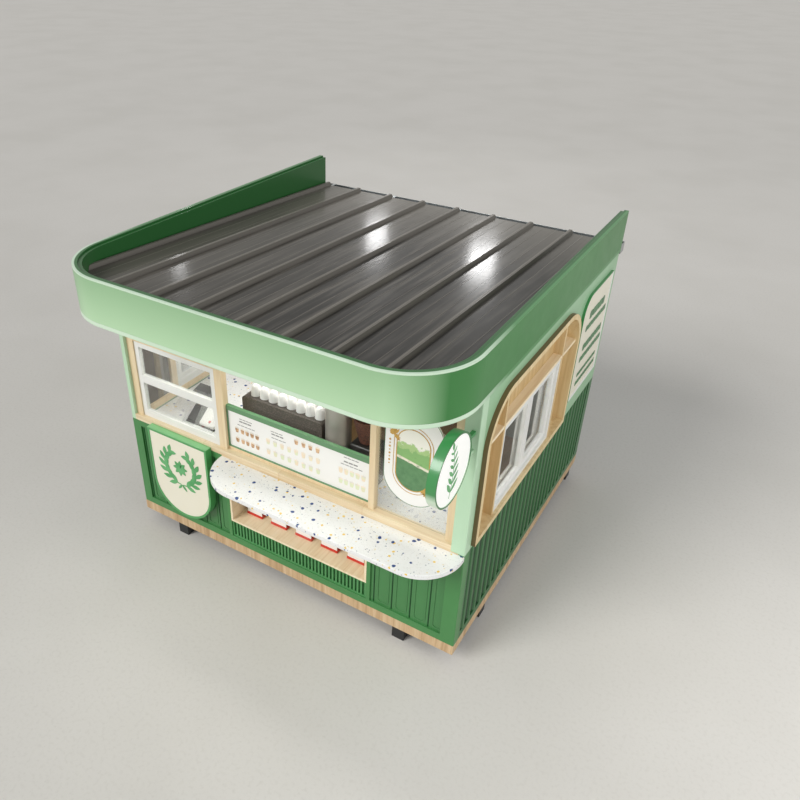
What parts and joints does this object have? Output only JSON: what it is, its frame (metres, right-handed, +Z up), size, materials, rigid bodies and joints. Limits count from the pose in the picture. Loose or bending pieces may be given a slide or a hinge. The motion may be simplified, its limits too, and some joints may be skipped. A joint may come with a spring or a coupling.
{
  "type": "street kiosk",
  "caption": "Small walk-in sales kiosk with a canopy on three sides, a terrazzo serving counter, a display niche, sash windows and arched side hoods.",
  "frame": {"origin": "on the ground, in the middle of the whole kiosk's footprint", "axes": "+Z up, the serving front faces -Y, +X is the customer's right"},
  "size_m": [3.06, 3.439, 2.615],
  "materials": {
    "black_steel": "satin",
    "pine": "matt",
    "floor_board": "matt",
    "green_paint": "satin",
    "dark_green_paint": "satin",
    "mint_paint": "matt",
    "fascia_green": "gloss",
    "pale_trim": "satin",
    "roof_steel": "satin",
    "gutter_grey": "satin",
    "white_paint": "satin",
    "clear_glass": "gloss",
    "terrazzo": "polished",
    "brown_board": "matt",
    "dark_machine": "gloss",
    "box_card": "matt",
    "sign_white": "matt",
    "sign_cream": "matt",
    "sign_green": "satin"
  },
  "bodies": {
    "root": {"feet": "black_steel", "base_frame": "black_steel", "plinth": "pine", "floor_deck": "floor_board", "front_lower_frame": "green_paint", "front_cladding": "green_paint", "niche_box": "pine", "vent_grille": "dark_green_paint", "display_boxes": "box_card", "counter_top": "terrazzo", "inner_counter": "terrazzo", "counter_gables": "pine", "drinks_machine": "dark_machine", "front_sill": "pine", "front_posts": "pine", "front_sash": "white_paint", "front_glass": "clear_glass", "menu_frame": "green_paint", "menu_board": "sign_white", "hanging_sign": "sign_white", "front_upper_wall": "mint_paint", "side_lower_walls": "green_paint", "side_upper_walls": "mint_paint", "window_hoods": "pine", "window_backs": "brown_board", "window_dividers": "brown_board", "window_shelves": "pine", "side_sashes": "white_paint", "side_glass": "clear_glass", "side_wainscots": "green_paint", "back_wainscot": "green_paint", "back_lower_wall": "green_paint", "back_upper_wall": "mint_paint", "fascia": "fascia_green", "fascia_trims": "pale_trim", "soffit": "pale_trim", "roof_sheet": "roof_steel", "purlins": "black_steel", "gutter": "gutter_grey", "shield_rim": "sign_green", "shield_face": "sign_cream", "disc_sign": "sign_green", "disc_faces": "sign_white", "side_board_border": "sign_green", "side_board": "sign_cream"}
  },
  "joints": []
}
